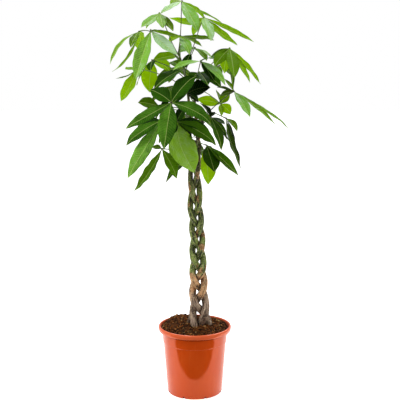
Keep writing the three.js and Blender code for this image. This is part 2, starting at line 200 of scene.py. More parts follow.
# a dark card on the floor before the plant: only gloss sees it
def makeCard():
    edge, back = studio["cardEdge"], studio["cardBack"]
    far = edge[-1][0]
    corners = [(-x, y) for x, y in reversed(edge)] + edge + [(far, back), (-far, back)]
    bm = bmesh.new()
    bm.faces.new([bm.verts.new((x, y, studio["cardHeight"])) for x, y in reversed(corners)])
    card = makeSheet("darkCard", bm, "blackCard", studio["cardColor"], studio["cardRoughness"])[0]
    card.visible_camera = False
    card.visible_diffuse = False
    card.visible_transmission = False
    card.visible_shadow = False


softboxes = [
    {"name": "leftBox", "at": (-2.0, -0.35, 1.1), "aim": (0, 0, 0.6), "size": (1.4, 2.0), "watts": 24,
     "gleams": False},
    {"name": "rightBox", "at": (2.0, -0.25, 1.1), "aim": (0, 0, 0.6), "size": (1.4, 2.0), "watts": 21,
     "gleams": False},
    {"name": "topBox", "at": (-0.6, -0.9, 2.9), "aim": (0, 0, 1.0), "size": (1.3, 1.3), "watts": 30},
    {"name": "backBox", "at": (0.3, 1.9, 2.2), "aim": (0, 0, 1.0), "size": (1.8, 1.4), "watts": 40},
]


def makeLights():
    for box in softboxes:
        data = bpy.data.lights.new(box["name"], "AREA")
        data.shape = "RECTANGLE"
        data.size, data.size_y = box["size"]
        data.energy = box["watts"]
        lamp = addObject(box["name"], data)
        lamp.location = box["at"]
        lamp.rotation_euler = (Vector(box["aim"]) - Vector(box["at"])).to_track_quat("-Z", "Y").to_euler()
        lamp.visible_glossy = box.get("gleams", True)


makeCamera()
makeSky()
makeFloor()
makeCard()
makeLights()
bpy.context.scene.view_settings.view_transform = "Standard"
print("camera, floor and lights are set")


# Shared shapes, in millimetres until a piece is finished
def asPiece(name, bm, materials, node):
    bmesh.ops.scale(bm, vec=(mm, mm, mm), verts=bm.verts)
    mesh = meshOf(name, bm)
    mesh.shade_smooth()
    for material in materials:
        mesh.materials.append(material)
    piece = addObject(name, mesh)
    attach(piece, "root")
    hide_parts(node)
    return piece


def turned(outline, steps):
    bm = bmesh.new()
    ring = [bm.verts.new((radius, 0.0, height)) for radius, height in outline]
    edges = [bm.edges.new(pair) for pair in zip(ring, ring[1:])]
    bmesh.ops.spin(bm, geom=ring + edges, cent=(0, 0, 0), axis=(0, 0, 1), angle=fullTurn,
                   steps=steps, use_merge=True)
    bmesh.ops.remove_doubles(bm, verts=bm.verts, dist=0.001)
    bmesh.ops.recalc_face_normals(bm, faces=bm.faces)
    return bm


def spanAt(table, at):
    k = 0
    while k < len(table) - 2 and at > table[k + 1][0]:
        k += 1
    return k


def lookUp(table, at):
    k = spanAt(table, at)
    (low, first), (high, last) = table[k], table[k + 1]
    share = min(max((at - low) / (high - low), 0.0), 1.0)
    return first + (last - first) * share


def easeUp(table, at):
    k = spanAt(table, at)
    slopes = []
    for i in (k, k + 1):
        i0, i1 = max(i - 1, 0), min(i + 1, len(table) - 1)
        slopes.append((table[i1][1] - table[i0][1]) / (table[i1][0] - table[i0][0]))
    (low, first), (high, last) = table[k], table[k + 1]
    run = high - low
    t = min(max((at - low) / run, 0.0), 1.0)
    return (first * (2 * t ** 3 - 3 * t * t + 1) + slopes[0] * run * (t ** 3 - 2 * t * t + t)
            + last * (3 * t * t - 2 * t ** 3) + slopes[1] * run * (t ** 3 - t * t))


def smoothstep(value, low, high):
    share = min(max((value - low) / (high - low), 0.0), 1.0)
    return share * share * (3 - 2 * share)


def freshVerts(bm):
    verts = [vert for vert in bm.verts if not vert.tag]
    for vert in verts:
        vert.tag = True
    return verts


def evenPath(path, count):
    marks = [0.0]
    for a, b in zip(path, path[1:]):
        marks.append(marks[-1] + (b - a).length)
    points = []
    k = 0
    for i in range(count + 1):
        goal = marks[-1] * i / count
        while k < len(path) - 2 and marks[k + 1] < goal:
            k += 1
        run = marks[k + 1] - marks[k]
        points.append(path[k].lerp(path[k + 1], (goal - marks[k]) / run if run else 0.0))
    return points


def pathFrames(points):
    frames = []
    last = None
    for i, point in enumerate(points):
        before, after = points[max(i - 1, 0)], points[min(i + 1, len(points) - 1)]
        tangent = (after - before).normalized()
        if last is None:
            normal = tangent.orthogonal().normalized()
        else:
            normal = last[0].rotation_difference(tangent) @ last[1]
        last = (tangent, normal)
        frames.append((point, normal, tangent.cross(normal)))
    return frames


def tube(bm, points, sides, radiusAt, faceSlot=0, grain=None):
    bmesh.ops.create_cone(bm, cap_ends=True, segments=sides, radius1=1.0, radius2=1.0, depth=1.0)
    fresh = [vert for vert in bm.verts if not vert.tag]
    uprights = list({edge for vert in fresh for edge in vert.link_edges
                     if abs(edge.verts[0].co.z - edge.verts[1].co.z) > 0.5})
    rings = len(points) - 1
    bmesh.ops.subdivide_edges(bm, edges=uprights, cuts=rings - 1, use_grid_fill=True)
    frames = pathFrames(points)
    step = (points[1] - points[0]).length
    verts = freshVerts(bm)
    for vert in verts:
        ring = min(max(round((vert.co.z + 0.5) * rings), 0), rings)
        angle = math.atan2(vert.co.y, vert.co.x)
        point, normal, binormal = frames[ring]
        radius = radiusAt(ring / rings, angle, point)
        vert.co = point + normal * radius * math.cos(angle) + binormal * radius * math.sin(angle)
        if grain:
            vert[grain] = (radius * math.cos(angle), radius * math.sin(angle), ring * step)
    for face in {face for vert in verts for face in vert.link_faces}:
        face.material_index = faceSlot


# Pot
potShape = {
    "sides": 160,
    "outline": [
        (0, 1.5), (60, 1.5), (83, 1.0), (87, 0.0), (90.5, 0.0), (92.2, 0.8), (92.9, 2.4), (93.1, 5),
        (95.1, 30), (98.1, 70), (101.2, 110), (103.9, 145), (106.0, 173.2), (106.1, 174.4), (106.4, 175.2),
        (107.8, 176.0), (108.3, 178), (108.3, 180), (108.5, 182), (109.4, 196), (110.8, 210.4),
        (111, 211.6), (111.4, 212.5), (112.6, 212.7), (119.6, 212.9), (121.5, 213.8), (122.6, 216.4),
        (123, 221), (122.8, 224.5), (121.9, 227), (120.4, 228.5), (118.6, 229.0), (117, 228.8),
        (115.9, 228.0), (115.2, 226.6),
        (114.7, 224), (108.3, 213), (103.6, 178), (102.9, 172), (96.5, 90), (90.2, 7), (88.5, 4.2),
        (60, 4), (0, 4)],
    "notches": 8, "notchSize": (14.0, 9.0, 14.0), "notchCircle": 94.2,
    "holes": 4, "holeRadius": 6.0, "holeCircle": 52.0, "holeSides": 32, "holeDepth": 16.0, "sharpFrom": 32,
    "cloud": (14.0, 4.0), "flow": (9.0, 5.0, 0.6, (14.0, 14.0, 1.0)), "fine": (900.0, 2.0), "flowRise": 0.6,
    "color": "#c4450c", "worn": "#cc5216", "wornShare": (0.35, 0.75, 0.0, 0.35),
    "dust": "#c8703c", "dustShare": (0.52, 0.8, 0.0, 0.12),
    # painted shadow: a band just below the rim is darkened towards a dark brown
    "shade": "#300a00", "lipShadowFrom": (0.2045, 0.2118), "lipShadowTo": (0.2124, 0.2132, 1.0, 0.0),
    # painted highlight: the rim is lightened towards a pale orange
    "lip": "#da6c48", "lipShare": (0.2126, 0.2146, 0.0, 0.5),
    "roughness": (0.3, 0.7, 0.08, 0.14), "relief": (0.03, 0.0005),
    "gloss": {"IOR": 1.5, "Specular IOR Level": 1.0, "Specular Tint": (1.0, 0.3, 0.18, 1.0)},
}


def moulded():
    material, tree, shader = newMaterial("terracottaPlastic")
    place = whereOn(tree)
    cloudy = speckle(tree, place, *potShape["cloud"])
    flow = speckle(tree, place, *potShape["flow"])
    fine = speckle(tree, place, *potShape["fine"])
    worn = spread(tree, cloudy, *potShape["wornShare"])
    color = blend(tree, worn, potShape["color"], potShape["worn"])
    color = blend(tree, spread(tree, flow, *potShape["dustShare"]), color, potShape["dust"])
    height = split(tree, place)["Z"]
    # painted shadow in a band just below the rim
    lipShadow = maths(tree, "MULTIPLY", spread(tree, height, *potShape["lipShadowFrom"]),
                  spread(tree, height, *potShape["lipShadowTo"]))
    color = blend(tree, lipShadow, color, potShape["shade"])
    # painted highlight on the rim
    color = blend(tree, spread(tree, height, *potShape["lipShare"]), color, potShape["lip"])
    for name, value in potShape["gloss"].items():
        shader.inputs[name].default_value = value
    rough = spread(tree, cloudy, *potShape["roughness"])
    relief = maths(tree, "MULTIPLY_ADD", flow, potShape["flowRise"], fine)
    dress(tree, shader, color, rough, potShape["relief"], relief)
    return material


def makePot():
    bm = turned(potShape["outline"], potShape["sides"])
    pot = asPiece("growerPot", bm, [moulded()], "pot")
    cutters = bmesh.new()
    for k in range(potShape["notches"]):
        turn = Matrix.Rotation(fullTurn * (k + 0.5) / potShape["notches"], 4, "Z")
        place = Matrix.Translation((potShape["notchCircle"], 0, 0))
        size = Matrix.Diagonal((*potShape["notchSize"], 1))
        bmesh.ops.create_cube(cutters, size=1.0, matrix=turn @ place @ size)
    for k in range(potShape["holes"]):
        turn = Matrix.Rotation(fullTurn * k / potShape["holes"], 4, "Z")
        place = Matrix.Translation((potShape["holeCircle"], 0, 0))
        bmesh.ops.create_cone(cutters, cap_ends=True, segments=potShape["holeSides"],
                              radius1=potShape["holeRadius"], radius2=potShape["holeRadius"],
                              depth=potShape["holeDepth"], matrix=turn @ place)
    bmesh.ops.scale(cutters, vec=(mm, mm, mm), verts=cutters.verts)
    cutter = addObject("drainCutters", meshOf("drainCutters", cutters))
    boolean = pot.modifiers.new("drains", "BOOLEAN")
    boolean.object = cutter
    boolean.solver = "EXACT"
    cut = bpy.data.meshes.new_from_object(pot.evaluated_get(bpy.context.evaluated_depsgraph_get()))
    pot.modifiers.clear()
    pot.data = cut
    cut.name = "growerPot"
    bpy.data.objects.remove(cutter)
    cut.set_sharp_from_angle(angle=math.radians(potShape["sharpFrom"]))


makePot()
print("pot is made")


# The stems' middle lines, the same as in the model: heights and widths in millimetres
braid = {
    "foot": 226, "splay": 270, "top": 812, "rootDepth": 108, "step": 18,
    "gaps": [268, 309, 348, 381, 414, 448, 486, 525, 558, 595, 632, 683, 737, 790],
    "middle": [(226, 22), (313, 14), (447, 11), (556, 8), (600, 4), (690, 0), (812, 0)],
    "spread": [(226, 27), (313, 21.5), (367, 19.5), (447, 17.8), (556, 16.2), (600, 16.6), (650, 16.8),
               (720, 14.2), (812, 13)],
    "depth": [(226, 23), (313, 25), (370, 23.8), (447, 21.8), (520, 20.2), (578, 20.6), (650, 18.8),
              (812, 15.5)],
    "lean": [(226, -18), (500, -6), (700, 0)],
    "feet": [(21, -16), (46.5, -7), (-1.5, -31)],
    "shoots": [
        [(16, 9, 836), (9, 15, 862), (4, 14, 925), (0, 12, 990), (8, 6, 1052)],
        [(-13, -8, 836), (-15, 2, 865), (-16, 4, 925), (-20, 6, 990), (-31, 4, 1062), (-53, 0, 1138)],
        [(1, -1, 836), (14, -12, 862), (22, -8, 900), (28, -4, 940)]],
    "smooth": 14,
    "radius": [(110, 13), (226, 12.8), (290, 12.3), (330, 11.8), (370, 10.9), (440, 10.1), (560, 9),
               (650, 8.8), (730, 7.8), (812, 6.8), (950, 4.6), (1140, 3.2)],
    "fuller": [(226, 1.0), (290, 1.04), (420, 1.12), (700, 1.14), (830, 1.0)],
    "sides": 28, "ringEvery": 3.2, "shrink": 0.01, "tipFrom": 0.992, "tipShrink": 0.75,
}


def centripetal(points, perSpan):
    ends = [points[0] * 2 - points[1], *points, points[-1] * 2 - points[-2]]
    path = []
    for k in range(1, len(ends) - 2):
        p0, p1, p2, p3 = ends[k - 1:k + 3]
        d0, d1, d2 = (math.sqrt((b - a).length) for a, b in ((p0, p1), (p1, p2), (p2, p3)))
        leave = ((p1 - p0) / d0 - (p2 - p0) / (d0 + d1) + (p2 - p1) / d1) * d1
        reach = ((p2 - p1) / d1 - (p3 - p1) / (d1 + d2) + (p3 - p2) / d2) * d1
        for j in range(perSpan):
            t = j / perSpan
            path.append(p1 * (2 * t ** 3 - 3 * t * t + 1) + leave * (t ** 3 - 2 * t * t + t)
                        + p2 * (3 * t * t - 2 * t ** 3) + reach * (t ** 3 - t * t))
    path.append(points[-1].copy())
    return path


def stemLine(index):
    turns = [(braid["foot"], 0)] + [(height, 30 + 60 * k) for k, height in enumerate(braid["gaps"])]
    points = []
    z = braid["foot"] - braid["rootDepth"]
    while z <= braid["top"]:
        turn = math.radians(lookUp(turns, z) + 120 * index)
        x = lookUp(braid["middle"], z) + lookUp(braid["spread"], z) * math.sin(turn)
        y = lookUp(braid["lean"], z) - lookUp(braid["depth"], z) * math.sin(2 * turn)
        splay = 1 - smoothstep(z, braid["foot"], braid["splay"])
        footX, footY = braid["feet"][index]
        points.append(Vector((x + (footX - x) * splay, y + (footY - y) * splay, z)))
        z += braid["step"]
    points += [Vector(point) for point in braid["shoots"][index]]
    return centripetal(points, braid["smooth"])


stemLines = [stemLine(index) for index in range(3)]


def stemAt(index, height):
    line = stemLines[index]
    k = 0
    while k < len(line) - 2 and line[k + 1].z < height:
        k += 1
    share = (height - line[k].z) / (line[k + 1].z - line[k].z)
    return line[k].lerp(line[k + 1], min(max(share, 0.0), 1.0))


def stemRadius(z):
    return lookUp(braid["radius"], z) * lookUp(braid["fuller"], z)


# Bark
bark = {
    "foot": "#b09680", "footDark": "#483629", "tan": "#d8a472", "green": "#7f9042", "greenDark": "#222a0c",
    # the darkest colour here is painted shade for where stems meet
    "top": "#5a6030", "scar": "#b4844e", "scarDark": "#2c2012", "speck": "#c4b88c", "creaseShade": "#060602",
    "wander": (34.0, 3.0), "streak": (0.17, 5.0, 0.68, (1.0, 1.0, 0.16)),
    "patch": (42.0, 3.0, 0.5, (1.0, 1.0, 0.55)), "fleck": (170.0, 4.0, 0.7), "wanderBy": 0.07,
    "footStreak": (0.4, 0.6), "tanStreak": (0.38, 0.62), "greenStreak": (0.38, 0.6),
    "topStreak": (0.42, 0.58), "scarFleck": (0.35, 0.65), "greenScar": (0.57, 0.62), "topScar": (0.56, 0.61),
    "tanFrom": (0.318, 0.352), "greenFrom": (0.4, 0.425), "topFrom": (0.62, 0.78, 0.0, 0.9),
    "specks": (0.56, 0.66, 0.0, 0.85), "pits": (0.34, 0.46, 0.85, 0.0), "creaseShadeShare": 0.96,
    "roughness": 0.72, "relief": (0.9, 0.002), "streakHeight": 0.8, "fleckHeight": 0.5,
    "creaseShadeReach": (0.4, 6.0), "creaseShadeEnd": (850, 890), "trackTop": 900,
    "knotFrom": 250, "knotShift": 17, "knotClear": 20, "knotEvery": (26, 60), "knotSize": (0.5, 1.0),
    "knotTall": 4.5, "knotSwell": 0.09, "knotAround": 0.35,
    "lump": 0.045, "lumpRise": 0.045, "lumpScale": 1.3, "ripple": 0.02, "rippleRise": 0.16,
}


def barkMaterial():
    material, tree, shader = newMaterial("youngBark")
    place = whereOn(tree)
    wander = speckle(tree, place, *bark["wander"])
    level = maths(tree, "MULTIPLY_ADD", maths(tree, "SUBTRACT", wander, 0.5), bark["wanderBy"],
                  split(tree, place)["Z"])
    streak = speckle(tree, painted(tree, "barkPlace")["Vector"], *bark["streak"])
    patch = speckle(tree, place, *bark["patch"])
    fleck = speckle(tree, place, *bark["fleck"])

    def mixed(mask, reach, first, second):
        return blend(tree, spread(tree, mask, *bark[reach]), first, second)

    foot = mixed(streak, "footStreak", bark["footDark"], bark["foot"])
    tan = mixed(streak, "tanStreak", bark["scarDark"], bark["tan"])
    green = mixed(streak, "greenStreak", bark["greenDark"], bark["green"])
    top = mixed(streak, "topStreak", bark["scarDark"], bark["top"])
    scar = mixed(fleck, "scarFleck", bark["scarDark"], bark["scar"])
    color = mixed(level, "tanFrom", foot, tan)
    color = mixed(level, "greenFrom", color, mixed(patch, "greenScar", green, scar))
    color = mixed(level, "topFrom", color, mixed(patch, "topScar", top, scar))
    color = mixed(fleck, "specks", color, bark["speck"])
    color = mixed(fleck, "pits", color, bark["scarDark"])
    # painted shade: where stems meet, the bark is darkened towards near black
    creaseShade = maths(tree, "MULTIPLY", painted(tree, "barkCreaseShade")["Fac"], bark["creaseShadeShare"])
    color = blend(tree, creaseShade, color, bark["creaseShade"])
    height = maths(tree, "ADD", maths(tree, "MULTIPLY", streak, bark["streakHeight"]),
                   maths(tree, "MULTIPLY", fleck, bark["fleckHeight"]))
    dress(tree, shader, color, bark["roughness"], bark["relief"], height)
    return material


youngBark = barkMaterial()


# where each stem runs at every millimetre of height, to paint shade into the creases between stems
stemTracks = [[stemAt(index, height) for height in range(braid["foot"], bark["trackTop"])]
              for index in range(3)]


# the painted shade at a point of a stem: full where another stem runs close, fading out higher up the stems
def creaseAt(index, point):
    level = min(max(round(point.z) - braid["foot"], 0), len(stemTracks[0]) - 1)
    nearest = min((point - track[level]).length for k, track in enumerate(stemTracks) if k != index)
    touch = 1 - smoothstep(nearest - stemRadius(point.z), *bark["creaseShadeReach"])
    return touch * (1 - smoothstep(point.z, *bark["creaseShadeEnd"]))


def makeStem(index):
    line = stemLines[index]
    length = sum((b - a).length for a, b in zip(line, line[1:]))
    points = evenPath(line, round(length / braid["ringEvery"]))
    knots = []
    z = bark["knotFrom"] + bark["knotShift"] * index
    while z < points[-1].z - bark["knotClear"]:
        knots.append((z, chance.uniform(-math.pi, math.pi), chance.uniform(*bark["knotSize"])))
        z += chance.uniform(*bark["knotEvery"])

    def radiusAt(share, angle, point):
        x, y = math.cos(angle), math.sin(angle)
        lump = noise.noise(Vector((x, y, point.z * bark["lumpRise"])) * bark["lumpScale"]
                           + Vector((9 * index, 0, 0)))
        ripple = noise.noise(Vector((3 * x, 3 * y, point.z * bark["rippleRise"] + 40 * index)))
        swell = bark["lump"] * lump + bark["ripple"] * ripple
        for z, side, size in knots:
            near = math.exp(-((point.z - z) / bark["knotTall"]) ** 2)
            around = bark["knotAround"]
            facing = around + (1 - around) * max(0.0, math.cos(angle - side)) ** 3
            swell += bark["knotSwell"] * size * near * facing
        tip = 1.0 - braid["tipShrink"] * smoothstep(share, braid["tipFrom"], 1.0)
        return stemRadius(point.z) * (1 + swell - braid["shrink"]) * tip

    bm = bmesh.new()
    creases = bm.verts.layers.float.new("barkCreaseShade")
    grain = bm.verts.layers.float_vector.new("barkPlace")
    tube(bm, points, braid["sides"], radiusAt, 0, grain)
    for vert in bm.verts:
        vert[creases] = creaseAt(index, vert.co)
    asPiece("braidStem" + str(index + 1), bm, [youngBark], "stem_" + str(index + 1))


for index in range(3):
    makeStem(index)

stub = {
    "radius": 5.5, "points": [(-25, 9, 150), (-22, 6, 236), (-15, 2, 262)], "smooth": 16, "rings": 44,
    "sides": 20, "taper": 0.35, "lump": 0.12, "lumpRise": 0.09, "lumpScale": 1.6,
}


def makeStub():
    line = centripetal([Vector(point) for point in stub["points"]], stub["smooth"])
    points = evenPath(line, stub["rings"])

    def radiusAt(share, angle, point):
        around = Vector((math.cos(angle), math.sin(angle), point.z * stub["lumpRise"]))
        lump = noise.noise(around * stub["lumpScale"])
        return stub["radius"] * (1 - stub["taper"] * share) * (1 + stub["lump"] * lump)

    bm = bmesh.new()
    tube(bm, points, stub["sides"], radiusAt, 0, bm.verts.layers.float_vector.new("barkPlace"))
    asPiece("rootStub", bm, [youngBark], "stub")


makeStub()
print("stems are made")


# Potting mix
mix = {
    "edgeHeight": 223, "moundHeight": 235, "bump": 1.75, "spokes": 180, "rings": 44, "wallRadius": 112.2,
    "wall": [(0, 4.3), (40, 4.3), (89.2, 4.3), (102.4, 172), (107.2, 212), (110.6, 218)],
    "flatTop": 230, "topFrom": 225, "firstRing": 0.2, "sunk": 0.6,
    "rough": [(1.5, 3, 0.11), (1.1, 8, 0.3)], "shadeScale": 0.2,
    "heap": 10.5, "heapAt": (-58, 78), "heapWide": 44,
    "kinds": (("crumbs", 2100, 1.8, 5.0), ("chips", 120, 4.5, 9.5), ("fibres", 90, 6.0, 14.0)),
    "batch": 30, "reach": 111, "clearTo": 112, "stemClear": 12.4, "stubAt": (-22, 6), "stubClear": 5,
    "beside": 0.7, "crumbFlat": 3.0, "otherFlat": 0.35, "flatAlong": 0.8, "anyTurn": 6.283,
    "ratios": [(0.6, 1), (0.5, 0.9), (0.35, 0.6), (0.16, 0.3)], "fibre": (0.07, 0.07), "lift": (0.1, 0.7),
    "smallShare": 1.8, "brownTo": 0.5, "redTo": 0.88, "dent": 0.5, "dentScale": 0.7,
    "dark": "#120802", "brown": "#5a3210", "red": "#8a4c18", "tan": "#c49c62",
    "grain": (260.0, 4.0, 0.65), "clump": (70.0, 3.0), "grainShare": (0.36, 0.66, 0.0, 0.8),
    "clumpShare": (0.5, 0.75, 0.0, 0.4), "roughness": 0.88, "gloss": 0.15, "relief": (0.8, 0.002),
}


# the height of the mix, with the same low waves as the model
def mixTop(x, y):
    radius = math.hypot(x, y)
    mound = (mix["moundHeight"] - mix["edgeHeight"]) * (1 - (radius / mix["wallRadius"]) ** 2)
    lumps = math.sin(0.19 * x + 1.3) * math.cos(0.23 * y) + 0.7 * math.sin(0.41 * x - 0.37 * y)
    heapX, heapY = mix["heapAt"]
    heap = mix["heap"] * math.exp(-((x - heapX) ** 2 + (y - heapY) ** 2) / mix["heapWide"] ** 2)
    return mix["edgeHeight"] + mound + mix["bump"] * lumps + heap


def mixMaterial():
    material, tree, shader = newMaterial("pottingMix")
    place = whereOn(tree)
    grain = speckle(tree, place, *mix["grain"])
    clump = speckle(tree, place, *mix["clump"])
    darker = spread(tree, grain, *mix["grainShare"])
    color = blend(tree, darker, painted(tree, "crumbTone")["Color"], mix["dark"])
    color = blend(tree, spread(tree, clump, *mix["clumpShare"]), color, mix["red"])
    shader.inputs["Specular IOR Level"].default_value = mix["gloss"]
    dress(tree, shader, color, mix["roughness"], mix["relief"], grain)
    return material


def toneBetween(first, second, share):
    return [a + (b - a) * share for a, b in zip(linear(mix[first]), linear(mix[second]))]


def clearOfStems(x, y, margin):
    for footX, footY in braid["feet"]:
        if math.hypot(x - footX, y - footY) < mix["stemClear"] + margin:
            return False
    return math.hypot(x - mix["stubAt"][0], y - mix["stubAt"][1]) > mix["stubClear"] + margin


def mixBase():
    rings, first = mix["rings"], mix["firstRing"]
    top = [(mix["wallRadius"] * (1 - (k + first) / (rings + first)), mix["flatTop"]) for k in range(rings)]
    bm = turned(mix["wall"] + top + [(0, mix["flatTop"])], mix["spokes"])
    tones = bm.verts.layers.float_color.new("crumbTone")
    for vert in bm.verts:
        x, y, z = vert.co
        if z > mix["topFrom"]:
            rough = sum(size * noise.noise(Vector((x, y, at)) * scale) for size, at, scale in mix["rough"])
            vert.co.z = mixTop(x, y) + rough - mix["sunk"]
        shade = 0.5 + 0.5 * noise.noise(Vector((x, y, z)) * mix["shadeScale"])
        vert[tones] = toneBetween("dark", "brown", shade)
    return meshOf("mixBase", bm)


def addBit(bm, tones, kind, small, large):
    while True:
        radius = mix["reach"] * math.sqrt(chance.random())
        turn = chance.uniform(0, fullTurn)
        x, y = radius * math.cos(turn), radius * math.sin(turn)
        size = small + (large - small) * chance.random() ** mix["smallShare"]
        if radius + size < mix["clearTo"] and clearOfStems(x, y, mix["beside"] * size):
            break
    ratios = [chance.uniform(low, high) for low, high in mix["ratios"]]
    wide, tall = {"crumbs": ratios[:2], "chips": ratios[2:], "fibres": mix["fibre"]}[kind]
    flat = mix["crumbFlat"] if kind == "crumbs" else mix["otherFlat"]
    turnBy = (Matrix.Rotation(chance.uniform(0, mix["anyTurn"]), 4, "Z")
              @ Matrix.Rotation(chance.gauss(0, flat), 4, "X")
              @ Matrix.Rotation(chance.gauss(0, flat * mix["flatAlong"]), 4, "Y"))
    lift = mixTop(x, y) + size * tall * chance.uniform(*mix["lift"]) + (0 if kind == "crumbs" else 1.0)
    middle = Vector((x, y, lift))
    matrix = Matrix.Translation(middle) @ turnBy @ Matrix.Diagonal((size, size * wide, size * tall, 1))
    bmesh.ops.create_icosphere(bm, subdivisions=1, radius=1.0, matrix=matrix)
    pick = chance.random()
    pair = ("dark", "brown") if pick < mix["brownTo"] else ("brown", "red")
    if pick >= mix["redTo"] or kind == "fibres":
        pair = ("red", "tan")
    tone = toneBetween(*pair, chance.random())
    for vert in freshVerts(bm):
        vert[tones] = tone
        vert.co += (vert.co - middle) * mix["dent"] * noise.noise(vert.co * mix["dentScale"])


def makeMix():
    base = mixBase()
    whole = bmesh.new()
    whole.from_mesh(base)
    for kind, count, small, large in mix["kinds"]:
        for first in range(0, count, mix["batch"]):
            batch = bmesh.new()
            tones = batch.verts.layers.float_color.new("crumbTone")
            for k in range(min(count - first, mix["batch"])):
                addBit(batch, tones, kind, small, large)
            part = meshOf("batch", batch)
            whole.from_mesh(part)
            bpy.data.meshes.remove(part)
    piece = asPiece("barkMix", whole, [mixMaterial()], "soil")
    for face in piece.data.polygons:
        face.use_smooth = face.index < len(base.polygons)


makeMix()
print("potting mix is made")


# Leaves: fanned leaflets on a long stalk, with the same places as the model's
fan = {"spread": 240, "shrink": 0.76, "width": 0.33}


def umbrella(heading, size, droop, count):
    blades = []
    for k in range(count):
        away = (k / (count - 1) - 0.5) * fan["spread"]
        length = size * (1 - fan["shrink"] * abs(away) / fan["spread"])
        turn, down = math.radians(heading + away), math.radians(droop)
        blades.append((length * math.cos(down) * math.cos(turn), length * math.cos(down) * math.sin(turn),
                       -length * math.sin(down), fan["width"] * length))
    return blades
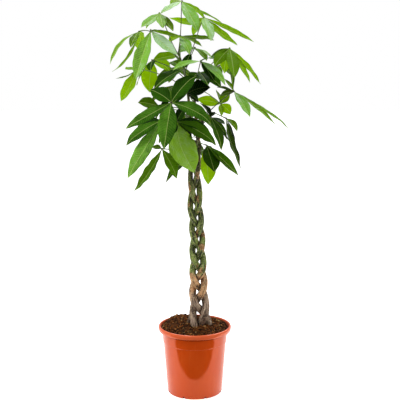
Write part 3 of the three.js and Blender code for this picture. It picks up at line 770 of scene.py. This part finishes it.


# Each leaf: its stem, the height of its root, its hub, the way it faces, its leaflets as right, back, up,
# width, bow and roll, and how pale each leaflet is and how far light glows through it. The paleness is
# the leaflet's own tone together with painted shade and painted sheen, and the glow is painted into its
# colour as well as let through.
leaves = [
    (1, 1132, (-40, 10, 1295), (0, 0, 1), [
        (-63, -110, -46, 30, 0.02, -5), (-40, 90, -6, 36, 0.08, 8), (51, -95, -97, 48, 0.02, 5),
        (130, 40, -61, 20, -0.02, -5), (75, 85, -44, 26, 0.03, -8)],
     [(1.3, 0), (0.7, 0.9), (1.15, 0), (0.5, 0.7), (0.5, 0.8)]),
    (1, 1118, (-110, -30, 1255), (0, -0.3, 1), [
        (-54, -70, -46, 34, -0.02, -14), (15, -90, -49, 32, 0), (46, -75, -58, 32, 0), (-49, 90, -41, 26)],
     [(1.25, 0.1), (0.8, 0.2), (0.3, 0.35), (0.5, 0.8)]),
    (1, 1096, (-135, -70, 1200), (-0.2, -0.6, 1), [
        (-45, -60, -152, 54, 0), (82, -60, -76, 41, -0.03), (55, 110, -6, 34, 0.03), (110, 15, -25, 30, 0)],
     [(0.95, 0.1), (1.5, 0), (0.3, 0.3), (0.5, 0.75)]),
    (1, 1108, (-178, 10, 1200), (-0.4, 0, 1), [
        (-88, -60, -106, 35, 0.12, -8), (-91, 40, -128, 22, -0.11, 8), (-20, -90, -51, 31, 0.05, -8),
        (1, 100, -59, 44, 0.05, -25)],
     [(0.75, 0.4), (0.6, 0.6), (0.45, 0.3), (0.6, 0.95)]),
    (1, 1084, (30, -20, 1243), (0.3, -0.3, 1), [
        (21, -90, -78, 44, 0.04, -5), (109, 60, -84, 35, -0.03, -38), (160, 10, -75, 28, 0.01, -40),
        (-35, 110, -53, 36, 0.05, -28), (-112, 85, 7, 30, -0.09, 50)],
     [(1.15, 0), (0.6, 0.75), (0.5, 0.7), (0.6, 1), (0.5, 0.95)]),
    (1, 1117, (-45, -20, 1185), (0, -0.3, 1), [
        (31, -80, -56, 36, 0.05, -8), (108, 70, -5, 28, 0, -36), (70, 95, -31, 26, 0.05, -18),
        (-38, 50, -16, 26, 0.05, 24)],
     [(1.15, 0.1), (0.25, 0.3), (0.4, 0.5), (0.6, 0.9)]),
    (1, 1070, (0, 50, 1150), (0.2, 0, 1), [
        (60, -40, -36, 34), (40, 80, -40, 36), (-54, 60, -12, 36, 0.05, 25)],
     [(1, 0.35), (0.4, 0.3), (1.1, 0)]),
    (0, 1048, (112, -10, 1147), (0.4, -0.3, 1), [
        (-62, -30, -34, 24, 0.06), (-50, -80, -56, 42, 0), (-15, 100, -75, 50), (12, -95, -93, 46),
        (72, 60, -107, 34, 0, -22), (102, 20, -112, 32, 0.02, -36), (15, 90, -140, 26)],
     [(0.3, 0.2), (0.5, 0.35), (0.5, 0.85), (0.63, 0.35), (0.6, 0.75), (0.5, 0.8), (0.3, 0.2)]),
    (0, 1040, (20, -90, 1105), (0, -0.5, 1), [
        (-85, -70, -25, 33), (77, -50, -70, 32, 0.05, 5), (40, -70, 8, 28), (42, -35, -60, 32)],
     [(1.1, 0), (1.15, 0), (0.6, 0), (0.1, 0)]),
    (1, 1030, (-34, -60, 1081), (-0.2, -0.7, 1), [
        (-90, -60, -59, 50), (-45, 60, 25, 39), (21, 25, 49, 34)],
     [(0.42, 0.03), (0.5, 0.3), (0.2, 0)]),
    (0, 1022, (15, -50, 1070), (0.2, -0.6, 1), [
        (70, -40, -43, 47, 0.05, 12), (27, -85, -36, 44), (-28, -30, -22, 38), (62, 55, -22, 32)],
     [(0.38, 0.03), (0.3, 0), (0.25, 0.05), (0.3, 0.2)]),
    (1, 1046, (-141, 100, 1111), (-0.3, 0.5, 1), [
        (-12, 20, -106, 60), (56, 60, -34, 44), (86, -40, 16, 46, 0.02, -15), (-50, -60, -80, 36),
        (-3, -60, -36, 30)],
     [(0.6, 1), (0.5, 0.7), (0.5, 0.5), (0.4, 0.5), (0.3, 0)]),
    (1, 1012, (-188, 50, 1085), (-0.5, 0.3, 1), [
        (-61, 50, -109, 49, -0.04, 12), (-46, 80, -2, 30, -0.03, 34), (-67, -50, -30, 16, -0.13)],
     [(0.55, 0.95), (0.5, 0.6), (0.3, 0.2)]),
    (1, 940, (-112, 0, 960), (-0.2, -0.8, 0.5), [
        (-68, -40, 16, 48), (-55, 40, -20, 40), (36, 15, 4, 40)],
     [(0.35, 0.25), (0.1, 0), (0.1, 0)]),
    (1, 905, (-70, -160, 981), (0, -0.8, 0.55), [
        (-139, -20, -76, 42, -0.02), (-20, -60, -138, 57), (122, -20, -58, 50), (-64, 20, 38, 56),
        (74, 30, 82, 54)],
     [(0.56, 0), (0.63, 0), (0.57, 0), (0.38, 0), (0.3, 0)]),
    (2, 862, (-55, -110, 920), (0.2, -0.8, 0.5), [
        (60, -40, -154, 90, -0.11, 5), (125, 20, -73, 54), (-30, -20, -40, 43),
        (28, -20, 46, 32), (48, 40, -72, 40), (100, 45, -28, 40)],
     [(1.2, 0.6), (0.45, 0.1), (0.1, 0), (0, 0), (0.05, 0), (0.1, 0)]),
    (1, 872, (-105, -60, 920), (-0.2, -0.8, 0.5), [
        (-110, -30, -180, 55, -0.01), (-115, -10, -75, 42, 0.05), (-80, 60, -45, 46), (40, 70, -90, 44)],
     [(0.86, 0.05), (0.6, 0), (0.15, 0), (0.15, 0)]),
    (1, 800, (-105, -40, 828), (-0.2, -0.5, 1), [
        (-88, -20, -134, 47, -0.055), (49, -10, -95, 42, 0.03), (-32, 10, 5, 26)],
     [(0.5, 0.25), (0.5, 0.25), (0.3, 0.3)]),
    (2, 840, (39, -16, 837), (0.3, -0.6, 0.8), [
        (101, -40, -93, 43, 0.01), (25, -60, -79, 60, 0, -5), (12, 80, -18, 26)],
     [(0.34, 0.15), (0.26, 0.04), (0.1, 0)]),
    (0, 802, (30, 60, 815), (0.2, 0.6, 0.8), [
        (14, 10, -118, 60), (-133, 40, -110, 34), (15, 80, -50, 40)],
     [(0.6, 1), (0.15, 0.1), (0.2, 0.2)]),
    (2, 924, (126, -20, 1011), (0.4, -0.3, 1), [
        (48, -80, -79, 38, 0.06, 8), (133, -20, -103, 32, 0.03, 6), (190, 30, -117, 28, -0.01, 4),
        (-30, 30, 40, 22), (-54, 12, 14, 18, 0.05, 40), (-42, 20, -14, 24, 0.05, 42)],
     [(1.05, 0), (0.55, 0.45), (0.5, 0.4), (0.3, 0.45), (0.1, 0.1), (0.15, 0.2)]),
    (2, 938, (103, 30, 922), (0.5, 0, 0.8), [
        (36, -30, -40, 27, 0.1, 30), (56, 0, -163, 40, -0.05, -28), (30, 30, -94, 26)],
     [(0.3, 0.45), (0.15, 0.1), (0.1, 0)]),
    (2, 900, (52, -15, 928), (0.3, -0.4, 0.9), [
        (44, -55, -21, 30), (55, 25, -75, 24, 0.08, 27), (36, -60, -98, 38, 0.05, -5),
        (-35, -25, 45, 28, 0.14, 38), (73, 12, -92, 12, 0, 10), (12, -20, 18, 20)],
     [(0, 0), (0.15, 0.1), (0.3, 0.08), (-0.1, 0), (0, 0), (-0.1, 0)]),
    (0, 1000, (88, 120, 966), (0.2, -0.6, 0.8), [
        (-80, -15, 16, 34, 0.02, -50), (34, -10, -34, 34, 0.05, 35), (2, -30, -39, 20, 0.05, 0),
        (-15, 60, 47, 18, 0.05, 30), (30, 10, 38, 36, 0.03, 10)],
     [(0.5, 1), (0.5, 0.95), (0.4, 0.7), (0.1, 0.3), (0.25, 0.45)]),
    (0, 965, (-62, 160, 1028), (0, 0.6, 1), umbrella(100, 140, 30, 5)),
    (1, 920, (-110, 140, 945), (-0.4, 0.6, 1), umbrella(125, 130, 35, 4)),
    (0, 905, (30, 170, 915), (0.2, 0.7, 1), umbrella(74, 125, 40, 4)),
    (1, 1064, (-60, 165, 1090), (-0.2, 0.6, 1), umbrella(110, 110, 30, 5)),
    (0, 1035, (85, 160, 1095), (0.4, 0.6, 1), umbrella(95, 100, 35, 5)),
    (1, 850, (-100, 95, 880), (-0.5, 0.4, 1), umbrella(130, 110, 40, 4)),
    (0, 845, (-20, 112, 850), (0, 0.7, 1), umbrella(112, 115, 40, 5)),
    (0, 935, (5, 222, 940), (0, 0.8, 1), umbrella(90, 130, 35, 4)),
    (0, 985, (-23, -60, 1005), (0.1, -0.8, 0.5), [
        (73, -15, 19, 58, 0.08), (-44, 20, -29, 28), (37, 30, -25, 30)],
     [(-0.15, 0), (0.15, 0), (0, 0)]),
]

leafShape = {
    "across": 12, "along": 44, "thick": 0.6, "fold": 0.22, "foldRound": 2.0, "upLean": 0.15, "bow": 0.05,
    "outline": [(0, 0.05), (0.05, 0.12), (0.14, 0.4), (0.27, 0.74), (0.4, 0.95), (0.52, 1.0), (0.66, 0.91),
                (0.8, 0.66), (0.89, 0.4), (0.95, 0.19), (0.985, 0.06), (1, 0)],
    "wave": 0.03, "waveSize": (0.5, 1.3), "waveEvery": (36, 52), "waveEdge": 2.2, "waveFrom": (0.08, 0.35),
    "twist": 6.0, "twistFrom": 0.25, "sway": 0.016, "curl": 0.04, "curlSize": (-0.3, 1.0), "curlFrom": 0.7,
    "plainShade": (0.15, 0.25), "shadeDrift": 0.06, "glowDrift": (0.9, 1.0), "glossyFrom": 0.65,
    "stalkRadius": 1.4, "hubSwell": 1.9, "hubEase": 14, "rootSwell": 1.3, "rootEase": 9,
    "stalkSides": 12, "stalkRings": 34, "hubReach": 2.6,
    "outward": 0.3, "upward": 0.22, "flat": 0.3, "last": 0.35, "arch": 0.06, "rises": {4: 0.34},
}
leafTint = {
    # leaflet colours: deep to pale green with painted shade towards the deep end, a silvery painted sheen
    # and a yellow-green painted glow
    "deep": "#0b2602", "middle": "#386c08", "pale": "#80bc38", "silverSheen": "#bcdcb2", "glow": "#98bf00",
    "vein": "#98c24c", "rib": "#cce084", "through": "#c8e600",
    "cloud": (26.0, 4.0), "fine": (520.0, 2.0), "sheenStreak": (0.045, 3.0, 0.6, (1.6, 0.7, 1.0)),
    "shadedHalves": (-1.0, 1.0), "halfShade": 0.6, "cloudBy": 0.55, "sheenStreakBy": (0.4, 1.0, 0.25, 0.9),
    "middleFrom": (-0.15, 0.55), "paleFrom": (0.45, 1.05), "silverSheenFrom": (1.0, 1.6),
    "veinShare": (0.3, 1.1, 0.12, 0.95), "ribShare": (-0.1, 0.35, 0.12, 0.7),
    "roughness": (0.3, 0.7, 0.38, 0.48), "relief": (0.8, 0.0014), "fineHeight": 0.12,
    "veinEvery": 8.5, "veinSlant": 0.55, "veinCurve": 0.009, "veinWide": (0.8, 1.0),
    "veinReach": (0.8, 1.0, 1.0, 0.0), "ribWide": (0.35, 1.5, 1.0, 0.0), "ribSunk": 0.8, "thinnest": 0.5,
    "stalk": "#5f7a2c", "stalkDark": "#3d3a22", "stalkPatch": (30.0, 3.0), "stalkFine": (500.0, 2.0),
    "stalkShare": (0.4, 0.6), "stalkRoughness": 0.45, "stalkRelief": (0.3, 0.0004),
}


def veinGroup():
    group = bpy.data.node_groups.new("leafVeins", "ShaderNodeTree")
    for name, value in (("Every", leafTint["veinEvery"]), ("Slant", leafTint["veinSlant"])):
        socket = group.interface.new_socket(name=name, in_out="INPUT", socket_type="NodeSocketFloat")
        socket.default_value = value
    for name in ("Rib", "Vein", "Height"):
        group.interface.new_socket(name=name, in_out="OUTPUT", socket_type="NodeSocketFloat")
    begin = group.nodes.new("NodeGroupInput").outputs
    end = group.nodes.new("NodeGroupOutput").inputs
    parts = split(group, painted(group, "bladePlace")["Vector"])
    off = maths(group, "ABSOLUTE", parts["X"])
    edge = maths(group, "DIVIDE", off, maths(group, "MAXIMUM", parts["Z"], leafTint["thinnest"]))
    rib = spread(group, off, *leafTint["ribWide"])
    slanted = maths(group, "MULTIPLY", off, begin["Slant"])
    squared = maths(group, "MULTIPLY", off, off)
    curved = maths(group, "MULTIPLY_ADD", squared, leafTint["veinCurve"], slanted)
    phase = maths(group, "DIVIDE", maths(group, "SUBTRACT", parts["Y"], curved), begin["Every"])
    cell = maths(group, "SUBTRACT", maths(group, "FRACT", phase), 0.5)
    near = maths(group, "MULTIPLY", maths(group, "ABSOLUTE", cell), 2.0)
    reach = spread(group, edge, *leafTint["veinReach"])
    vein = maths(group, "MULTIPLY", spread(group, near, *leafTint["veinWide"]), reach)
    pillow = maths(group, "SUBTRACT", 1.0, maths(group, "MULTIPLY", near, near))
    sunk = maths(group, "MULTIPLY", rib, leafTint["ribSunk"])
    height = maths(group, "SUBTRACT", maths(group, "MULTIPLY", pillow, reach), sunk)
    for name, value in (("Rib", rib), ("Vein", vein), ("Height", height)):
        group.links.new(value, end[name])
    return group


leafVeins = veinGroup()


def leafMaterial(name, gloss, clear):
    material, tree, shader = newMaterial(name)
    place = whereOn(tree)
    spot = painted(tree, "bladePlace")["Vector"]
    tone = painted(tree, "bladeToneAndLight")["Color"]
    tone = add(tree, "ShaderNodeSeparateColor", inputs={"Color": tone}).outputs
    pale, glow = tone["Red"], tone["Green"]
    veins = add(tree, "ShaderNodeGroup", {"node_tree": leafVeins}, {"Every": leafTint["veinEvery"]}).outputs
    cloudy = speckle(tree, place, *leafTint["cloud"])
    fine = speckle(tree, place, *leafTint["fine"])
    sheenStreak = speckle(tree, spot, *leafTint["sheenStreak"])
    # painted shade: one half of each leaflet, either side of the rib, is darker than the other, by a random
    # amount per leaflet
    half = maths(tree, "SUBTRACT", spread(tree, split(tree, spot)["X"], *leafTint["shadedHalves"]), 0.5)
    lean = maths(tree, "MULTIPLY", half, maths(tree, "SUBTRACT", tone["Blue"], 0.5))
    level = maths(tree, "MULTIPLY_ADD", maths(tree, "SUBTRACT", cloudy, 0.5), leafTint["cloudBy"], pale)
    level = maths(tree, "MULTIPLY_ADD", lean, leafTint["halfShade"], level)
    # painted sheen: silvery streaks along the paler leaflets
    shiny = spread(tree, pale, *leafTint["sheenStreakBy"])
    level = maths(tree, "MULTIPLY_ADD", maths(tree, "SUBTRACT", sheenStreak, 0.5), shiny, level)
    # the paleness ramp runs from deep green through middle and pale green to a silvery green: the leaflet's
    # own tone, with painted shade on the darker leaflets and a painted sheen at the silvery end
    color = leafTint["deep"]
    for shade in ("middle", "pale", "silverSheen"):
        color = blend(tree, spread(tree, level, *leafTint[shade + "From"]), color, leafTint[shade])
    # painted glow: leaflets lit from behind are tinted yellow-green in their own colour, besides the light
    # let through below
    color = blend(tree, glow, color, leafTint["glow"])
    for mark, output in (("vein", "Vein"), ("rib", "Rib")):
        share = spread(tree, pale, *leafTint[mark + "Share"])
        color = blend(tree, maths(tree, "MULTIPLY", veins[output], share), color, leafTint[mark])
    shader.inputs["Specular IOR Level"].default_value = gloss
    height = maths(tree, "MULTIPLY_ADD", fine, leafTint["fineHeight"], veins["Height"])
    rough = spread(tree, cloudy, *leafTint["roughness"])
    dress(tree, shader, color, rough, leafTint["relief"], height)
    bright = blend(tree, glow, color, leafTint["through"])
    through = add(tree, "ShaderNodeBsdfTranslucent", inputs={"Color": bright})
    mixed = add(tree, "ShaderNodeMixShader", inputs={"Fac": clear})
    surface = shader.outputs["BSDF"].links[0].to_socket
    tree.links.new(shader.outputs["BSDF"], mixed.inputs[1])
    tree.links.new(through.outputs["BSDF"], mixed.inputs[2])
    tree.links.new(mixed.outputs["Shader"], surface)
    return material


def stalkMaterial():
    material, tree, shader = newMaterial("leafStalk")
    place = whereOn(tree)
    patch = spread(tree, speckle(tree, place, *leafTint["stalkPatch"]), *leafTint["stalkShare"])
    color = blend(tree, patch, leafTint["stalkDark"], leafTint["stalk"])
    fine = speckle(tree, place, *leafTint["stalkFine"])
    dress(tree, shader, color, leafTint["stalkRoughness"], leafTint["stalkRelief"], fine)
    return material


# two copies of the leaf material: a glossy one for the paler, lit leaflets and a dull one with more light
# let through for the leaflets in painted shade and the glowing ones
leafGlossyLit = leafMaterial("leafGlossyLit", gloss=0.22, clear=0.3)
leafDullShaded = leafMaterial("leafDullShaded", gloss=0.06, clear=0.5)
leafStalk = stalkMaterial()


def stalkLine(root, hub, rise):
    reach = (hub - root).length
    out = hub - root
    out.z *= leafShape["flat"]
    out.normalize()
    start = root + out * leafShape["outward"] * reach + Vector((0, 0, leafShape["upward"] * reach))
    end = hub.lerp(root, leafShape["last"]) + Vector((0, 0, rise * reach))
    crown = hub + (hub - end).normalized() * leafShape["hubReach"]
    line = []
    for k in range(leafShape["stalkRings"] + 1):
        t = k / leafShape["stalkRings"]
        line.append(root * (1 - t) ** 3 + start * 3 * t * (1 - t) ** 2
                    + end * 3 * t * t * (1 - t) + crown * t ** 3)
    return line


def addBlade(bm, hub, face, blade, shade, tones, places):
    right, back, up, width = blade[:4]
    bow = blade[4] if len(blade) > 4 else leafShape["bow"]
    roll = blade[5] if len(blade) > 5 else 0.0
    chord = Vector((right, back, up))
    length, along = chord.length, chord.normalized()
    upward = (Vector((0, 0, 1)) - along * along.z).normalized()
    normal = Vector(face).normalized()
    normal -= along * normal.dot(along)
    normal = (normal + upward * leafShape["upLean"]).normalized()
    normal.rotate(Quaternion(along, math.radians(roll)))
    side = along.cross(normal)
    wave = leafShape["wave"] * width * chance.uniform(*leafShape["waveSize"])
    ripples = length / chance.uniform(*leafShape["waveEvery"])
    phases = (chance.uniform(0, 1), chance.uniform(0, 1))
    twist = math.radians(chance.gauss(0, leafShape["twist"]))
    sway = length * leafShape["sway"] * chance.gauss(0, 1)
    curl = length * leafShape["curl"] * chance.uniform(*leafShape["curlSize"])
    bmesh.ops.create_grid(bm, x_segments=leafShape["across"], y_segments=leafShape["along"], size=1.0)
    # each leaflet's paleness, its own tone with painted shade and sheen, its painted glow, and a random
    # number for its darker painted half
    pale, glow = shade
    drift = leafShape["shadeDrift"]
    tone = (pale + chance.uniform(-drift, drift), glow * chance.uniform(*leafShape["glowDrift"]),
            chance.random(), 1.0)
    fresh = freshVerts(bm)
    for vert in fresh:
        u, share = vert.co.x, (vert.co.y + 1) / 2
        half = 0.5 * width * max(easeUp(leafShape["outline"], share), 0.0)
        off = u * half
        rippled = wave * abs(u) ** leafShape["waveEdge"]
        rippled *= math.sin(fullTurn * (ripples * share + phases[u > 0]))
        rippled *= smoothstep(share, *leafShape["waveFrom"])
        bend = leafShape["foldRound"]
        folded = leafShape["fold"] * (math.sqrt(off * off + bend ** 2) - bend)
        turn = Quaternion(along, twist * (share - leafShape["twistFrom"]))
        point = hub + chord * share + upward * (4 * bow * length * share * (1 - share))
        point += side * sway * math.sin(math.pi * share)
        point -= upward * curl * smoothstep(share, leafShape["curlFrom"], 1.0) ** 2
        vert.co = point + (turn @ side) * off + (turn @ normal) * (folded + rippled)
        vert[tones] = tone
        vert[places] = (off, share * length, half)
    faces = list({face for vert in fresh for face in vert.link_faces})
    solid = bmesh.ops.solidify(bm, geom=faces, thickness=leafShape["thick"])
    # paler leaflets take the glossy lit copy, the rest the dull copy for leaflets in painted shade
    for face in faces + [part for part in solid["geom"] if isinstance(part, bmesh.types.BMFace)]:
        face.material_index = 0 if pale > leafShape["glossyFrom"] else 1
    freshVerts(bm)


def makeLeaf(number, stem, height, middle, face, blades, shades=None):
    label = str(number).zfill(2)
    root, hub = stemAt(stem, height), Vector(middle)
    bm = bmesh.new()
    tones = bm.verts.layers.float_color.new("bladeToneAndLight")
    places = bm.verts.layers.float_vector.new("bladePlace")

    def radiusAt(share, angle, point):
        return (leafShape["stalkRadius"] + leafShape["hubSwell"] * share ** leafShape["hubEase"]
                + leafShape["rootSwell"] * (1 - share) ** leafShape["rootEase"])

    for blade, shade in zip(blades, shades or [leafShape["plainShade"]] * len(blades)):
        addBlade(bm, hub, face, blade, shade, tones, places)
    bmesh.ops.remove_doubles(bm, verts=bm.verts, dist=0.0005)
    bmesh.ops.recalc_face_normals(bm, faces=bm.faces)
    for vert in bm.verts:
        vert.tag = True
    line = stalkLine(root, hub, leafShape["rises"].get(number, leafShape["arch"]))
    tube(bm, line, leafShape["stalkSides"], radiusAt, 2)
    asPiece("palmLeaf" + label, bm, [leafGlossyLit, leafDullShaded, leafStalk], "leaf_" + label)


leafSlots = dict.fromkeys((1, 2, 3, 5, 6, 8, 9, 10, 11, 16), "leaf_upper")
leafSlots.update(dict.fromkeys((14, 15, 17, 18, 19, 21, 22, 23, 33), "leaf_deep"))
for number, leaf in enumerate(leaves, 1):
    makeLeaf(number, *leaf)
print("leaves are made")

shown = [item for item in bpy.context.scene.objects if item.type == "MESH" and not item.hide_render]
counts = [len(item.data.polygons) for item in shown]
print("faces in all:", sum(counts), "most in a piece:", max(counts))
